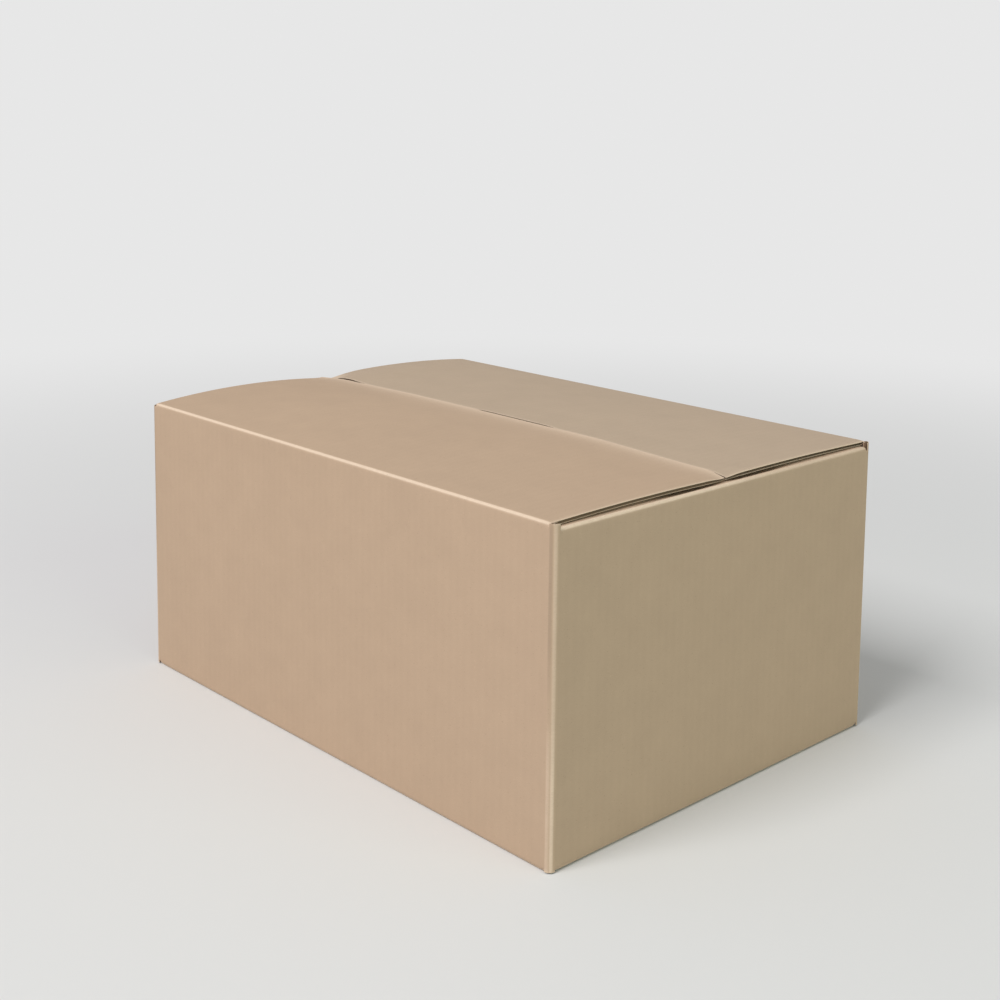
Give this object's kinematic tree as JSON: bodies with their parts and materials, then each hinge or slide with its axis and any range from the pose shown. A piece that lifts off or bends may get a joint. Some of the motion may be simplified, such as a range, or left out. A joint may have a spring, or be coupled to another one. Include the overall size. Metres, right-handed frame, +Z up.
{
  "type": "cardboard box",
  "caption": "Plain closed shipping box folded from corrugated board, with slightly bowed top flaps that meet along the middle and hinge open.",
  "frame": {"origin": "middle of the footprint, on the floor", "axes": "+X along the length towards the right end wall, +Y across the width towards the back wall, +Z up"},
  "size_m": [0.43, 0.305, 0.209],
  "materials": {
    "board": "matte kraft liner",
    "glue": "set hot-melt glue"
  },
  "bodies": {
    "carton": {"carton_body": "board", "tab_glue": "glue", "bottom_glue_front_left": "glue", "bottom_glue_back_left": "glue", "bottom_glue_front_right": "glue", "bottom_glue_back_right": "glue"},
    "front_flap": {"front_top_flap": "board"},
    "back_flap": {"back_top_flap": "board"}
  },
  "joints": [
    {"name": "front_flap_hinge", "type": "hinge", "parent": "carton", "child": "front_flap", "pos_m": [0, -0.1525, 0.203], "axis": [1, 0, 0], "range_deg": [0, 250]},
    {"name": "back_flap_hinge", "type": "hinge", "parent": "carton", "child": "back_flap", "pos_m": [0, 0.1525, 0.203], "axis": [-1, 0, 0], "range_deg": [0, 250]}
  ]
}
